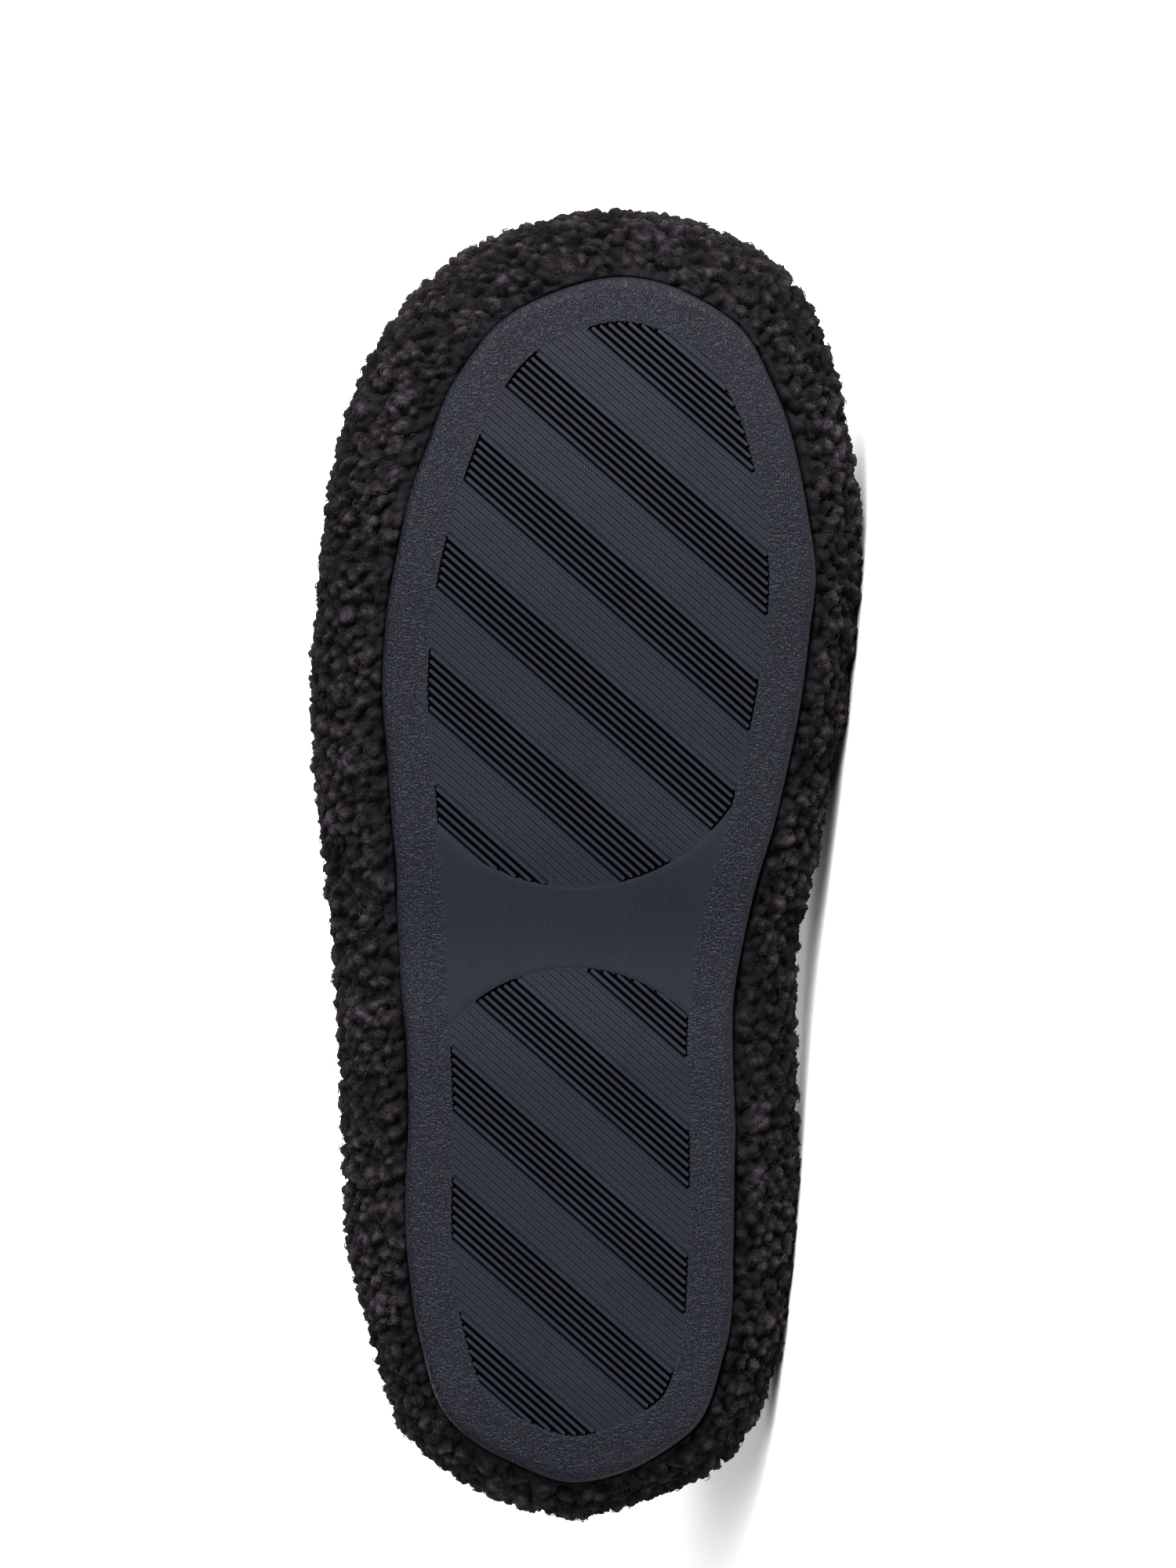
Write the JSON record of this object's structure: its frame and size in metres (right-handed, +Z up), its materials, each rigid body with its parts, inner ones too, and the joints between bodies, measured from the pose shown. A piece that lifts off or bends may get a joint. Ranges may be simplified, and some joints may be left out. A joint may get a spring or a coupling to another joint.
{
  "type": "clog slipper",
  "caption": "Right-foot clog slipper with a ribbed rubber sole, a deep fleece upper open at the collar and a padded insole, lying on its inner side.",
  "frame": {"origin": "on the floor under the middle of the slipper's bounding box", "axes": "+X towards the toe, -Y the way the sole faces (it leans back 8 degrees), +Z up from the floor, through the outer side of the foot"},
  "size_m": [0.2818, 0.083, 0.1159],
  "materials": {
    "rubber": "matte",
    "fleece": "matte",
    "footbed": "matte"
  },
  "bodies": {
    "root": {"outsole": "rubber", "upper": "fleece", "insole": "footbed"}
  },
  "joints": []
}
